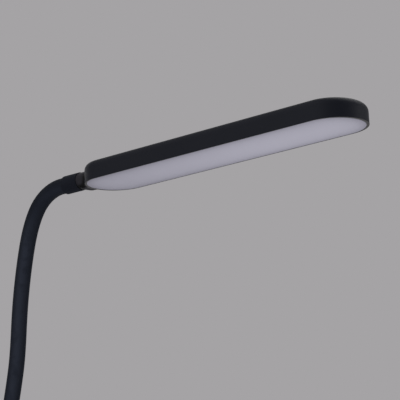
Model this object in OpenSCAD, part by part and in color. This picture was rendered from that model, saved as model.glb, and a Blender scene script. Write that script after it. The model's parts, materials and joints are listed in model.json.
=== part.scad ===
// Reading floor lamp: a weighted round base, a pole that screws together, a push-button
// control, a flexible arm and a flat oblong light head.
// Millimetres, +Z up. The origin is the middle of the base's underside, and the head
// reaches towards +X.

/* [Base] */
// Diameter of the base cover
base_d = 240; // [226:2:300]
// Height of the cover's top above the floor
base_h = 24; // [23.5:0.5:28]
// Sheet thickness of the base cover
cover_wall = 1.6; // [1:0.1:2]
// Radius of the cover's rounded shoulder
shoulder_r = 5; // [3:0.5:5.5]
// Height of the cover's lower edge above the floor
cover_lift = 1; // [0.4:0.1:2]
// Diameter of the foam pad that the lamp stands on
pad_d = 220; // [160:2:232]
// Thickness of the foam pad
pad_t = 2.5; // [2:0.1:3]
// Thickness of the base plate
plate_t = 2; // [1.5:0.1:2.5]
// Diameter of the cast ballast disc
weight_d = 200; // [180:2:214]
// Thickness of the ballast disc
weight_t = 14; // [13:0.5:15]
// Ballast left above the clamp nut
clamp_web = 4; // [3:0.5:4.5]
// Diameter of the circle of base screws
screw_circle = 140; // [100:2:160]
// Thread diameter of the base screws
screw_d = 3.5; // [3:0.1:4]
// Length of the base screws
screw_l = 12; // [9:0.5:14]
// Diameter of the hole through the cable grommet
grommet_bore = 6.4; // [5:0.1:7]
// Diameter of the grommet's body
grommet_d = 10; // [9:0.1:11]
// Diameter of the grommet's flanges
grommet_flange_d = 13; // [12:0.1:13.4]

/* [Pole] */
// Outer diameter of the pole tubes
pole_d = 18; // [17:0.5:21]
// Wall of the pole tubes
pole_wall = 1.2; // [1:0.1:1.6]
// Length of each pole tube
tube_l = 300; // [200:5:400]
// Chamfer on the ends of the pole tubes
tube_chamfer = 0.5; // [0.2:0.1:0.8]
// Thread diameter of the hollow studs
stud_d = 10; // [9:0.5:11]
// Hole through the studs for the lead
stud_bore = 4.8; // [4.4:0.1:5.6]
// Length of each stud between two tubes
stud_l = 28; // [20:1:30]
// Length of each threaded insert in a tube end
insert_l = 16; // [15:1:24]
// Diameter of the collar at the foot of the pole
collar_d = 44; // [38:1:60]
// Height of the collar
collar_h = 12; // [10:0.5:16]

/* [Control] */
// Outer diameter of the control housing
control_d = 26; // [25:0.5:30]
// Wall of the control housing
control_wall = 1.6; // [1.2:0.1:1.8]
// Length of the control housing
control_l = 100; // [92:1:130]
// Height of the tapered part of each end cap
cap_taper = 6; // [5:0.5:12]
// Depth of each cap's plug inside the housing
cap_plug = 10; // [9.5:0.5:14]
// Diameter of the push buttons
button_d = 8; // [7:0.1:8.4]
// Distance between neighbouring buttons
button_pitch = 20; // [15:0.5:22]
// How far a button goes in
button_travel = 0.8; // [0.4:0.1:1]
// How far a button stands out of its panel
button_proud = 1.2; // [1:0.1:2]
// Thickness of the circuit boards
board_t = 1.6; // [1.2:0.1:1.8]

/* [Flexible arm] */
// Outer diameter of the sleeve over the arm
sleeve_d = 15.4; // [14.4:0.2:16]
// Wall of the sleeve
sleeve_wall = 2.2; // [1.8:0.1:2.4]
// Hole through the steel core of the arm
core_bore = 5.6; // [5:0.1:6]
// Length of a link between two bending points
link_l = 40; // [34:1:50]
// Length of arm between the last bending point and the head's ferrule
tip_l = 9; // [8:0.5:20]
// How far the arm goes into each ferrule
arm_seat = 9; // [6:0.5:11]
// Outer diameter of both ferrules
ferrule_d = 17.8; // [16.8:0.1:19]
// Length of the ferrule at the head
head_ferrule_l = 20; // [16:0.5:28]
// Length of the ferrule at the foot of the arm
foot_ferrule_l = 24; // [20:0.5:36]

/* [Head] */
// Overall length of the head's housing
head_l = 305; // [240:5:380]
// Width of the head's housing
head_w = 60; // [56:1:80]
// Thickness of the head's housing
head_t = 18.4; // [18.2:0.2:22]
// Side wall of the housing
head_wall = 1.6; // [1.2:0.1:2]
// Wall of the housing's round end at the neck
end_wall = 3.1; // [2:0.1:4]
// Top wall of the housing
head_top = 2; // [1.5:0.1:2.2]
// Radius of the housing's upper edge
edge_r = 5.5; // [3:0.5:5.5]
// Diameter of the neck between the housing and its ferrule
neck_d = 16.4; // [15:0.1:16.8]
// Length of the neck
neck_l = 16.5; // [9:0.5:20]
// Height of the neck's axis above the housing's lower edge
neck_z = 10.6; // [10:0.1:10.8]
// Thickness of the opal diffuser
diffuser_t = 2; // [1.5:0.1:2.2]
// How far the diffuser lies inside the rim
diffuser_recess = 0.2; // [0.1:0.1:0.6]
// Number of diodes in each of the two rows
led_count = 20; // [8:1:28]
// Side of a diode package
led_side = 3; // [2:0.1:4]

/* [Hidden] */
$fn = 64;

// Clearances: a close fit, a running gap, and a thread drawn as a plain cylinder
fit = 0.1;
gap = 0.3;
thread_gap = 0.05;

// Base levels, from the floor up
plate_top = pad_t + plate_t;
ceiling_z = base_h - cover_wall;
weight_z = ceiling_z - weight_t;
cover_r = base_d / 2;
cover_bore_r = cover_r - cover_wall;
clamp_z = ceiling_z - clamp_web;
washer_t = 1.6;
washer_d = 28;
nut_h = 5;
nut_flats = 17;
nut_z = clamp_z - washer_t - nut_h;
clamp_bore_r = washer_d / 2 + 2;
stud_r = stud_d / 2;
stud_hole_r = stud_r + thread_gap;
stud_z = nut_z - 0.5;
screw_count = 4;
screw_head_d = 2 * screw_d;
screw_head_h = screw_d / 2;
boss_d = screw_head_d + 5;
grommet_flange_t = 2;
grommet_z = (plate_top + base_h - shoulder_r) / 2;
grommet_back = cover_r - sqrt(pow(cover_bore_r, 2) - pow(grommet_flange_d / 2, 2)) + fit;

// Lead and terminal block inside the base
lead_r = 1.8;
lead_bend_r = 4;
lead_z = stud_z - lead_bend_r;
terminal_l = 18;
terminal_w = 14;
terminal_h = 9;
terminal_gap = 17;
terminal_x = -clamp_bore_r - terminal_l - terminal_gap;
terminal_screw_r = 2;
channel_w = terminal_w + 4;
channel_top = plate_top + terminal_h + 1;

// Pole levels
pole_r = pole_d / 2;
pole_bore_r = pole_r - pole_wall;
tube_count = 3;
collar_floor = 4;
collar_curve = min(collar_h - 2, collar_d / 2 - pole_r - 3);
pole_z = base_h + collar_floor;
pole_top = pole_z + tube_count * tube_l;

// Control levels; the buttons face +X
control_r = control_d / 2;
control_bore_r = control_r - control_wall;
control_z = pole_top + cap_taper;
control_end = control_z + control_l;
board_z = control_z + cap_plug;
board_l = control_l - 2 * cap_plug;
board_w = 18;
button_mid = control_z + control_l / 2;
panel_w = button_d + 6;
panel_l = 2 * button_pitch + panel_w;
panel_face = control_r - 0.4;
panel_back = control_r - 5;
panel_tab_w = 10;
panel_tab_l = panel_l + 6;
panel_tab_t = sqrt(pow(control_bore_r, 2) - pow(panel_tab_w / 2, 2)) - gap - panel_back;
button_r = button_d / 2;
button_flange_r = button_r + 1.2;
button_flange_t = 1.1;
button_flange_x = panel_back - gap - button_flange_t;
button_front = panel_face + button_proud;
switch_side = 6;
switch_h = 3.5;
switch_face = board_t / 2 + switch_h;
switch_well_r = 1.9;
plunger_r = switch_well_r - gap;
plunger_tip = switch_face - gap;
switch_well = gap + button_travel + 0.5;

// Arm: lean of each link from vertical at its foot, from the pole to the head. The first link is
// a half link, and one link near the head is a bent crook.
link_lean = [0, 4, 9, 11.5, 10.7, 4.6, 3.6, 8.5, 19.5, 30.3, 86.5];
joints = len(link_lean) - 1;
crook = joints - 1;
crook_bend = 56;
crook_r = link_l * 180 / (PI * crook_bend);
arm_z = control_end + cap_taper + foot_ferrule_l;
sleeve_r = sleeve_d / 2;
sleeve_bore_r = sleeve_r - sleeve_wall;
core_r = sleeve_bore_r - fit;
core_bore_r = core_bore / 2;
ball_r = sleeve_r - gap;
dish_r = sleeve_r + 0.2;
core_low = dish_r + fit;
core_tail = sqrt(pow(ball_r, 2) - pow(core_r, 2)) - fit;
core_turn = core_low * 180 / (PI * crook_r);
ferrule_r = ferrule_d / 2;
cup_r = sleeve_r + fit;
cup_depth = arm_seat + gap;
spigot_r = 5;
spigot_l = 8;
arm_lead_r = 1.5;

// Head: X from the arm's end along the head, Z from the neck's axis
apex_x = head_ferrule_l + neck_l;
head_r = head_w / 2;
head_straight = head_l - head_w;
near_x = apex_x + head_r;
far_x = near_x + head_straight;
head_bore_r = head_r - head_wall;
bore_near_x = apex_x + end_wall + head_bore_r;
cavity_r = 1.8;
head_ceiling = head_t - head_top;
ledge_w = 1.4;
ledge_t = 1.6;
ledge_z = diffuser_recess + diffuser_t + fit;
neck_r = neck_d / 2;
flare_r = 12;
flare_root = neck_r - 0.6 + flare_r;
flare_x = near_x - sqrt(pow(head_r + flare_r, 2) - pow(flare_root, 2));
flare_y = flare_root * head_r / (head_r + flare_r) - 0.8;
flare_h = neck_z + 5.4;
nipple_r = 3;
nipple_bore_r = 1.9;
neck_washer_r = min(5, head_ceiling - cavity_r - neck_z);
neck_washer_t = 3;
neck_nut_h = 4;
neck_nut_flats = 10;
neck_nut_x = apex_x + end_wall + neck_washer_t;
nut_room = 1;
nipple_end = neck_nut_x + neck_nut_h + nut_room;
tray_flange_r = head_bore_r - 0.4;
tray_foot_r = tray_flange_r - 3;
tray_top_r = tray_foot_r - 4;
tray_t = 0.8;
tray_z = ledge_z + ledge_t;
tray_h = head_ceiling - tray_z - gap;
tray_near_x = nipple_end + tray_flange_r + nut_room;
led_board_z = head_ceiling - board_t;
led_board_r = tray_top_r - 1;
led_h = 0.7;
led_row_y = led_board_r / 2;
head_lead_bend_r = 2.5;
head_lead_inset = 4;
head_lead_x = tray_near_x - led_board_r + head_lead_inset;

// Length of a link, its step from foot to top on its own axes, and its foot's place in XZ
function link_len(i) = i == 0 ? link_l / 2 : i == joints ? tip_l : link_l;
function link_step(i) =
    i == crook ? [crook_r * (1 - cos(crook_bend)), crook_r * sin(crook_bend)] : [0, link_len(i)];
function foot(i) =
    i == 0 ? [0, arm_z]
           : let (p = foot(i - 1), a = link_lean[i - 1], s = link_step(i - 1))
             p + [s[0] * cos(a) + s[1] * sin(a), s[1] * cos(a) - s[0] * sin(a)];

// Places its children at the foot of link i, with Z along the arm
module at_link(i) {
    p = foot(i);
    translate([p[0], 0, p[1]]) rotate([0, link_lean[i], 0]) children();
}

// Places its children on the head's own axes
module at_head() at_link(joints) translate([0, 0, link_len(joints)]) rotate([0, -90, 0]) children();

// Turns its children's Z to +X
module along_x() rotate([90, 0, 90]) children();

// Flat ring
module ring(outer_r, bore_r) difference() {
    circle(outer_r);
    circle(bore_r);
}

// Straight tube along Z
module tube(outer_r, bore_r, h) linear_extrude(h) ring(outer_r, bore_r);

// Tube on an arc that leaves the origin along Z and bends towards +X, between two angles
module bent_tube(r, from, to, outer_r, bore_r) translate([r, 0, 0]) rotate([90, 0, 180])
    rotate([0, 0, from]) rotate_extrude(angle = to - from) translate([r, 0]) ring(outer_r, bore_r);

// Hexagonal nut standing on XY
module hex_nut(flats, bore_r, h) difference() {
    cylinder(r = flats / sqrt(3), h = h, $fn = 6);
    translate([0, 0, -1]) cylinder(r = bore_r, h = h + 2);
}

// Half outline from the axis outwards, with a rounded upper corner
module rounded_half(r, h, corner) {
    square([r, h - corner]);
    square([r - corner, h]);
    translate([r - corner, h - corner]) intersection() {
        circle(corner);
        square(corner);
    }
}

// Flat shape with straight sides along Y and round ends
module oblong(w, l) {
    square([w, l - w], center = true);
    for (side = [-1, 1]) translate([0, side * (l - w) / 2]) circle(w / 2);
}

// Carries a half outline round a shape with straight sides from x0 to x1 and round ends
module oblong_sweep(x0, x1) {
    translate([x0, 0, 0]) rotate([0, 0, 90]) rotate_extrude(angle = 180) children();
    translate([x1, 0, 0]) rotate([0, 0, -90]) rotate_extrude(angle = 180) children();
    translate([x0, 0, 0]) along_x() linear_extrude(x1 - x0) {
        children();
        mirror([1, 0]) children();
    }
}

// One copy of its children at each base screw
module at_screws() {
    for (i = [0 : screw_count - 1])
        rotate([0, 0, 45 + i * 360 / screw_count]) translate([screw_circle / 2, 0, 0]) children();
}

// Pressed steel shell over the base
module base_cover() color("#1c1d20") difference() {
    rotate_extrude() difference() {
        translate([0, cover_lift]) rounded_half(cover_r, base_h - cover_lift, shoulder_r);
        translate([0, cover_lift - 1])
            rounded_half(cover_bore_r, ceiling_z - cover_lift + 1, shoulder_r - cover_wall);
    }
    translate([0, 0, ceiling_z - 1]) cylinder(r = stud_r + gap, h = cover_wall + 2);
    translate([-cover_r - 1, 0, grommet_z]) along_x() cylinder(d = grommet_d + 2 * fit, h = cover_wall + 3);
}

// Cast ballast with a well for the clamp nut and a channel for the wiring
module base_weight() color("#3a3b3d") difference() {
    translate([0, 0, weight_z]) cylinder(d = weight_d, h = weight_t);
    translate([0, 0, weight_z - 1]) cylinder(r = clamp_bore_r, h = clamp_z - weight_z + 1);
    translate([0, 0, weight_z - 1]) cylinder(r = stud_r + gap, h = weight_t + 2);
    translate([-weight_d / 2 - 1, -channel_w / 2, weight_z - 1])
        cube([weight_d / 2 + 1, channel_w, channel_top - weight_z + 1]);
    at_screws() translate([0, 0, weight_z - 1])
        cylinder(r = screw_d / 2 + thread_gap, h = pad_t + screw_l + 1 - weight_z + 1);
}

// Plate that closes the base, with a boss under the ballast at each screw
module base_plate() color("#2a2b2e") difference() {
    union() {
        translate([0, 0, pad_t]) cylinder(r = cover_bore_r - gap, h = plate_t);
        at_screws() translate([0, 0, pad_t + plate_t / 2])
            cylinder(d = boss_d, h = weight_z - pad_t - plate_t / 2);
    }
    at_screws() translate([0, 0, pad_t]) rotate_extrude() polygon([
        [0, -1],
        [screw_head_d / 2 + gap, -1],
        [screw_head_d / 2 + gap, 0],
        [screw_d / 2 + gap, screw_head_h],
        [screw_d / 2 + gap, weight_z],
        [0, weight_z]]);
}

module base_pad() color("#26262a") cylinder(d = pad_d, h = pad_t);

module base_screws() color("#9a9ca0") at_screws() translate([0, 0, pad_t]) {
    cylinder(d1 = screw_head_d, d2 = screw_d, h = screw_head_h);
    translate([0, 0, screw_head_h]) cylinder(d = screw_d, h = screw_l - screw_head_h);
}

module base_stud() color("#b5b7ba") translate([0, 0, stud_z])
    tube(stud_r, stud_bore / 2, pole_z + insert_l - stud_z);

module base_washer() color("#a8aaad") translate([0, 0, clamp_z - washer_t])
    tube(washer_d / 2, stud_hole_r, washer_t);

module base_nut() color("#a8aaad") translate([0, 0, nut_z]) hex_nut(nut_flats, stud_hole_r, nut_h);

// Rubber bush in the back of the cover, its axis along X
module cable_grommet() color("#141416") translate([-cover_r, 0, grommet_z]) along_x()
    rotate_extrude() translate([grommet_bore / 2, 0]) {
        body_w = (grommet_d - grommet_bore) / 2;
        flange_w = (grommet_flange_d - grommet_bore) / 2;
        translate([0, -grommet_flange_t - fit]) square([body_w, grommet_back + 2 * grommet_flange_t + fit]);
        translate([0, -grommet_flange_t - fit]) square([flange_w, grommet_flange_t]);
        translate([0, grommet_back]) square([flange_w, grommet_flange_t]);
    }

module terminal_block() color("#d9d7cf") difference() {
    translate([terminal_x, -terminal_w / 2, plate_top]) cube([terminal_l, terminal_w, terminal_h]);
    for (side = [-1, 1])
        translate([terminal_x + terminal_l / 2, side * terminal_w / 4, plate_top + terminal_h / 2])
            cylinder(r = terminal_screw_r, h = terminal_h);
}

// Pole pieces
module pole_collar() color("#1c1d20") translate([0, 0, base_h]) rotate_extrude() difference() {
    square([collar_d / 2, collar_h]);
    translate([collar_d / 2, collar_h]) circle(collar_curve);
    translate([0, -1]) square([stud_r + gap, collar_h + 2]);
    translate([0, collar_floor]) square([pole_r + fit, collar_h]);
}

module pole_tube(i) color("#1a1b1e") translate([0, 0, pole_z + i * tube_l]) rotate_extrude()
    polygon([
        [pole_bore_r, 0],
        [pole_r - tube_chamfer, 0],
        [pole_r, tube_chamfer],
        [pole_r, tube_l - tube_chamfer],
        [pole_r - tube_chamfer, tube_l],
        [pole_bore_r, tube_l]]);

module pole_inserts() color("#8f9194")
    for (i = [0 : tube_count - 1], low = [gap, tube_l - insert_l - gap])
        translate([0, 0, pole_z + i * tube_l + low]) tube(pole_bore_r - thread_gap, stud_hole_r, insert_l);

module pole_studs() color("#b5b7ba") for (i = [1 : tube_count])
    translate([0, 0, pole_z + i * tube_l - stud_l / 2]) tube(stud_r, stud_bore / 2, stud_l);

// Wire from the terminal block, round a bend and up the pole to the control
module pole_lead() color("#e4e2dc") {
    run_x = terminal_x + terminal_l;
    translate([run_x, 0, lead_z]) along_x() cylinder(r = lead_r, h = -lead_bend_r - run_x);
    translate([-lead_bend_r, 0, stud_z]) rotate([90, 0, 0]) rotate([0, 0, -90])
        rotate_extrude(angle = 90) translate([lead_bend_r, 0]) circle(lead_r);
    translate([0, 0, stud_z]) cylinder(r = lead_r, h = board_z - gap - stud_z);
}

// Control pieces
module control_housing() color("#1a1b1e") difference() {
    translate([0, 0, control_z]) tube(control_r, control_bore_r, control_l);
    translate([0, 0, button_mid]) along_x() linear_extrude(control_d) oblong(panel_w, panel_l);
}

module control_panel() color("#2b2c30") difference() {
    translate([panel_back, 0, button_mid]) along_x() {
        linear_extrude(panel_face - panel_back) oblong(panel_w - 2 * fit, panel_l - 2 * fit);
        linear_extrude(panel_tab_t) oblong(panel_tab_w, panel_tab_l);
    }
    for (row = [-1, 0, 1])
        translate([0, 0, button_mid + row * button_pitch]) along_x() cylinder(r = button_r + gap, h = control_d);
}

module control_cap_lower() color("#1a1b1e") translate([0, 0, pole_top]) difference() {
    union() {
        cylinder(r1 = pole_r, r2 = control_r, h = cap_taper);
        translate([0, 0, cap_taper]) cylinder(r = control_bore_r - fit, h = cap_plug);
    }
    translate([0, 0, -1]) cylinder(r = stud_hole_r, h = cap_taper + cap_plug + 2);
}

module control_cap_upper() color("#1a1b1e") translate([0, 0, control_end]) difference() {
    union() {
        translate([0, 0, -cap_plug]) cylinder(r = control_bore_r - fit, h = cap_plug);
        cylinder(r1 = control_r, r2 = ferrule_r, h = cap_taper);
        translate([0, 0, cap_taper]) cylinder(r = spigot_r, h = spigot_l);
    }
    translate([0, 0, -cap_plug - 1]) cylinder(r = core_bore_r, h = cap_plug + cap_taper + spigot_l + 2);
}

module control_board() color("#1f6b45") translate([-board_t / 2, -board_w / 2, board_z])
    cube([board_t, board_w, board_l]);

module push_switches() color("#0f0f10") for (row = [-1, 0, 1])
    translate([board_t / 2, 0, button_mid + row * button_pitch]) difference() {
        translate([0, -switch_side / 2, -switch_side / 2]) cube([switch_h, switch_side, switch_side]);
        translate([switch_h - switch_well, 0, 0]) along_x() cylinder(r = switch_well_r, h = switch_h);
    }

// Push button: a plunger over the switch, a flange behind the panel and the cap outside
module push_button(row) color("#3a3b40") translate([0, 0, button_mid + row * button_pitch]) {
    translate([plunger_tip, 0, 0]) along_x() cylinder(r = plunger_r, h = button_flange_x - plunger_tip);
    translate([button_flange_x, 0, 0]) along_x() cylinder(r = button_flange_r, h = button_flange_t);
    translate([button_flange_x + button_flange_t, 0, 0]) along_x() rotate_extrude()
        rounded_half(button_r, button_front - button_flange_x - button_flange_t, 0.6);
}

// Arm pieces
module arm_lead() color("#e4e2dc") translate([0, 0, board_z + board_l + gap])
    cylinder(r = arm_lead_r, h = arm_z + link_l / 4 - board_z - board_l - gap);

module foot_ferrule() color("#1c1d20") translate([0, 0, arm_z - foot_ferrule_l]) difference() {
    cylinder(r = ferrule_r, h = foot_ferrule_l);
    translate([0, 0, -1]) cylinder(r = spigot_r + thread_gap, h = foot_ferrule_l + 2);
    translate([0, 0, foot_ferrule_l - cup_depth]) cylinder(r = cup_r, h = cup_depth + 1);
}

// Half outline of the ball collar on the end of a link
module ball_half() intersection() {
    circle(ball_r);
    translate([sleeve_bore_r, 0]) square(ball_r);
}

// From the crook's foot, places its children at its top
module at_crook_top() {
    s = link_step(crook);
    translate([s[0], 0, s[1]]) rotate([0, crook_bend, 0]) children();
}

// Sleeve of link i: a ball collar on one end turns in the dish of the next; the crook has two dishes
module arm_sleeve(i) color("#191a1d") at_link(i) {
    low = i == 0 ? -arm_seat : 0;
    high = link_len(i) + (i == joints ? arm_seat : 0);
    if (i == crook)
        difference() {
            bent_tube(crook_r, 0, crook_bend, sleeve_r, sleeve_bore_r);
            sphere(dish_r);
            at_crook_top() sphere(dish_r);
        }
    else
        rotate_extrude() {
            difference() {
                translate([sleeve_bore_r, low]) square([sleeve_wall, high - low]);
                if (i > 0 && i < joints) circle(dish_r);
            }
            if (i == joints)
                mirror([0, 1]) ball_half();
            else
                translate([0, high]) ball_half();
        }
}

// Steel core of link i, which stops clear of a dish and reaches into a ball collar
module arm_core(i) color("#8d8f93") at_link(i) {
    low = i == 0 ? -arm_seat : i == joints ? -core_tail : core_low;
    high = link_len(i) + (i == joints ? arm_seat : core_tail);
    if (i == crook)
        bent_tube(crook_r, core_turn, crook_bend - core_turn, core_r, core_bore_r);
    else
        translate([0, 0, low]) tube(core_r, core_bore_r, high - low);
}

// Head pieces
module head_ferrule() color("#1c1d20") at_head() along_x() difference() {
    cylinder(r = ferrule_r, h = head_ferrule_l);
    translate([0, 0, -1]) cylinder(r = nipple_r + thread_gap, h = head_ferrule_l + 2);
    translate([0, 0, -1]) cylinder(r = cup_r, h = cup_depth + 1);
}

// Shell with a ledge for the diffuser, a thicker end at the neck and a hole for its thread
module head_housing() color("#1c1d20") at_head() difference() {
    translate([0, 0, -neck_z]) oblong_sweep(near_x, far_x) rounded_half(head_r, head_t, edge_r);
    translate([0, 0, -neck_z]) oblong_sweep(bore_near_x, far_x) difference() {
        translate([0, -1]) rounded_half(head_bore_r, head_ceiling + 1, cavity_r);
        translate([head_bore_r - ledge_w, ledge_z]) square([ledge_w + 1, ledge_t]);
    }
    translate([head_ferrule_l, 0, 0]) along_x() cylinder(r = nipple_r + gap, h = near_x - head_ferrule_l);
}

// Plan of the neck's flare, with a hollow curve on each side and its underside level with the rim
module flare_plan() difference() {
    translate([flare_x, -flare_y]) square([near_x - flare_x, 2 * flare_y]);
    for (side = [-1, 1]) translate([flare_x, side * flare_root]) circle(flare_r);
}

// Neck with a saddle that fits the housing's round end, on a hollow threaded rod
module head_neck() color("#232428") at_head() difference() {
    union() {
        difference() {
            union() {
                translate([head_ferrule_l, 0, 0]) along_x() cylinder(r = neck_r, h = neck_l + 4);
                translate([0, 0, -neck_z]) linear_extrude(flare_h) flare_plan();
            }
            translate([near_x, 0, -head_t]) cylinder(r = head_r + fit, h = 2 * head_t);
        }
        translate([cup_depth, 0, 0]) along_x() cylinder(r = nipple_r, h = nipple_end - cup_depth);
    }
    translate([cup_depth - 1, 0, 0]) along_x() cylinder(r = nipple_bore_r, h = nipple_end);
}

module head_diffuser() color("#dddce6") at_head() translate([0, 0, diffuser_recess - neck_z])
    oblong_sweep(bore_near_x, far_x) square([head_bore_r - fit, diffuser_t]);

// Slanted white wall round the diodes, resting on the housing's ledge
module light_tray() color("#f2f2f0") at_head() difference() {
    translate([0, 0, tray_z - neck_z]) oblong_sweep(tray_near_x, far_x)
        polygon([
            [tray_foot_r, 0],
            [tray_flange_r, 0],
            [tray_flange_r, tray_t],
            [tray_foot_r + tray_t, tray_t],
            [tray_top_r + tray_t, tray_h],
            [tray_top_r, tray_h]]);
    translate([nipple_end, 0, 0]) along_x() cylinder(r = arm_lead_r + gap, h = head_lead_x - nipple_end);
}

module led_board() color("#e9e9e6") at_head() translate([0, 0, led_board_z - neck_z])
    oblong_sweep(tray_near_x, far_x) square([led_board_r, board_t]);

module leds() color("#f0d878") at_head() for (i = [0 : led_count - 1], side = [-1, 1])
    translate([
        tray_near_x + (far_x - tray_near_x) * i / (led_count - 1) - led_side / 2,
        side * led_row_y - led_side / 2,
        led_board_z - neck_z - led_h])
        cube([led_side, led_side, led_h]);

// Saddle washer inside the housing's round end
module neck_washer() color("#a8aaad") at_head() difference() {
    intersection() {
        translate([apex_x, 0, 0]) along_x() cylinder(r = neck_washer_r, h = neck_nut_x - apex_x);
        translate([bore_near_x, 0, -head_t]) cylinder(r = head_bore_r - fit, h = 2 * head_t);
    }
    translate([apex_x - 1, 0, 0]) along_x() cylinder(r = nipple_r + thread_gap, h = head_r);
}

module neck_nut() color("#a8aaad") at_head() translate([neck_nut_x, 0, 0]) along_x()
    hex_nut(neck_nut_flats, nipple_r + thread_gap, neck_nut_h);

// Wire from the arm through the neck, bending up to the diode board
module head_lead() color("#e4e2dc") at_head() {
    start_x = -tip_l / 2;
    bend_x = head_lead_x - head_lead_bend_r;
    translate([start_x, 0, 0]) along_x() cylinder(r = arm_lead_r, h = bend_x - start_x);
    translate([bend_x, 0, head_lead_bend_r]) rotate([90, 0, 0]) rotate([0, 0, -90])
        rotate_extrude(angle = 90) translate([head_lead_bend_r, 0]) circle(arm_lead_r);
    translate([head_lead_x, 0, head_lead_bend_r])
        cylinder(r = arm_lead_r, h = led_board_z - neck_z - head_lead_bend_r);
}

base_cover();
base_weight();
base_plate();
base_pad();
base_screws();
base_stud();
base_washer();
base_nut();
cable_grommet();
terminal_block();
pole_collar();
pole_tube(0);  // pole_lower
pole_tube(1);  // pole_middle
pole_tube(2);  // pole_upper
pole_inserts();
pole_studs();
pole_lead();
control_housing();
control_panel();
control_cap_lower();
control_cap_upper();
control_board();
push_switches();
push_button(0);  // power_button
push_button(1);  // brighter_button
push_button(-1);  // dimmer_button
arm_lead();
foot_ferrule();
arm_sleeve(0);  // arm_sleeve_00
arm_sleeve(1);  // arm_sleeve_01
arm_sleeve(2);  // arm_sleeve_02
arm_sleeve(3);  // arm_sleeve_03
arm_sleeve(4);  // arm_sleeve_04
arm_sleeve(5);  // arm_sleeve_05
arm_sleeve(6);  // arm_sleeve_06
arm_sleeve(7);  // arm_sleeve_07
arm_sleeve(8);  // arm_sleeve_08
arm_sleeve(9);  // arm_sleeve_09
arm_sleeve(10);  // arm_sleeve_10
arm_core(0);  // arm_core_00
arm_core(1);  // arm_core_01
arm_core(2);  // arm_core_02
arm_core(3);  // arm_core_03
arm_core(4);  // arm_core_04
arm_core(5);  // arm_core_05
arm_core(6);  // arm_core_06
arm_core(7);  // arm_core_07
arm_core(8);  // arm_core_08
arm_core(9);  // arm_core_09
arm_core(10);  // arm_core_10
head_ferrule();
head_housing();
head_diffuser();
light_tray();
led_board();
leds();
head_neck();
neck_washer();
neck_nut();
head_lead();
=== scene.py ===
import json

import bmesh
import bpy
import numpy as np
from mathutils import Matrix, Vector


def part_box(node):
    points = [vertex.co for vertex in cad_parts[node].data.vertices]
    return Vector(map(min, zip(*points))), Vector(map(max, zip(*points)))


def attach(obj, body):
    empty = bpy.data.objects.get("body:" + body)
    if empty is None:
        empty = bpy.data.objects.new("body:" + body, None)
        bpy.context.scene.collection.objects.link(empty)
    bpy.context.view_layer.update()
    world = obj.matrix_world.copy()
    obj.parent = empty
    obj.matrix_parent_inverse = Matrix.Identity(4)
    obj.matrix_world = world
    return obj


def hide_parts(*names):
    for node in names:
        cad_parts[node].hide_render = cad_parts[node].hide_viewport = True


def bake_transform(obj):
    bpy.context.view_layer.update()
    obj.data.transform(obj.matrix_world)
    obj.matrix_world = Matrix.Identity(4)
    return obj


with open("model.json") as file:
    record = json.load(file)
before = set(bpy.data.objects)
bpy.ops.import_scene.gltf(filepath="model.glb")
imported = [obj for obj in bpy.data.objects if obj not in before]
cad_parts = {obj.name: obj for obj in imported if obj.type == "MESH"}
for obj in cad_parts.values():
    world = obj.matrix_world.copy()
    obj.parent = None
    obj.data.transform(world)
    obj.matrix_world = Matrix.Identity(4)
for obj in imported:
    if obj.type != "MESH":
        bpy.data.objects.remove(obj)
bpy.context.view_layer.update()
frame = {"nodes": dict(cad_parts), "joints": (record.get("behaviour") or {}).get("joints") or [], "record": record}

MM = 0.001

# Sizes in millimetres, as the solids have them. Sizes that end in X count along the head from the
# arm's end. The first is the head's lean from vertical, in degrees; then come the way from the last
# bending point to the arm's end, and how deep the sleeve sits in its ferrules.
HEAD_LEAN = 86.5
TIP_L, ARM_SEAT = 9.0, 9.0
SLEEVE_R, SLEEVE_BORE_R = 7.7, 5.5
FERRULE_R, CUP_R, CUP_DEPTH = 8.9, 7.8, 9.3
HEAD_CUP_BORE_R, HEAD_FERRULE_L, NECK_R, APEX_X = 3.6, 20.0, 8.2, 36.5
HEAD_R, HEAD_T, HEAD_WALL, HEAD_TOP, EDGE_R, NECK_Z = 30.0, 18.4, 1.6, 2.0, 5.5, 10.6
NEAR_X, FAR_X, BORE_NEAR_X = 66.5, 311.5, 68.0
LEDGE_W, LEDGE_T, DIFFUSER_T, RECESS = 1.4, 1.6, 2.0, 0.06
FIT, GAP, THREAD_GAP = 0.1, 0.3, 0.05
POLE_R, POLE_BORE_R, POLE_Z, TUBE_L = 9.0, 7.8, 28.0, 300.0
BASE_H, COLLAR_R, COLLAR_H, COLLAR_CURVE, COLLAR_FLOOR = 24.0, 22.0, 12.0, 10.0, 4.0
STUD_R, PLUG_R, PLUG_L, SPIGOT_R, SPIGOT_L, CORE_BORE_R = 5.0, 11.3, 10.0, 5.0, 8.0, 2.8
CONTROL_R, CONTROL_Z, CONTROL_END, CAP_TAPER = 13.0, 934.0, 1034.0, 6.0
BUTTON_R, BUTTON_FRONT, BUTTON_MID, BUTTON_PITCH = 4.0, 13.8, 984.0, 20.0
FLANGE_R, FLANGE_BACK, FLANGE_FRONT = 5.2, 6.6, 7.7

# Sizes that only the drawing has, in millimetres. First the head: a rounder upper edge at both
# ends, and the opening that the diffuser fills.
NECK_EDGE_R, TIP_EDGE_R, INNER_EDGE_R, TIP_INNER_R = 7.0, 8.6, 1.5, 7.0
RIM_W, MOUTH_NEAR_X, MOUTH_FAR_X = 0.9, 67.7, 309.8
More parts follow.
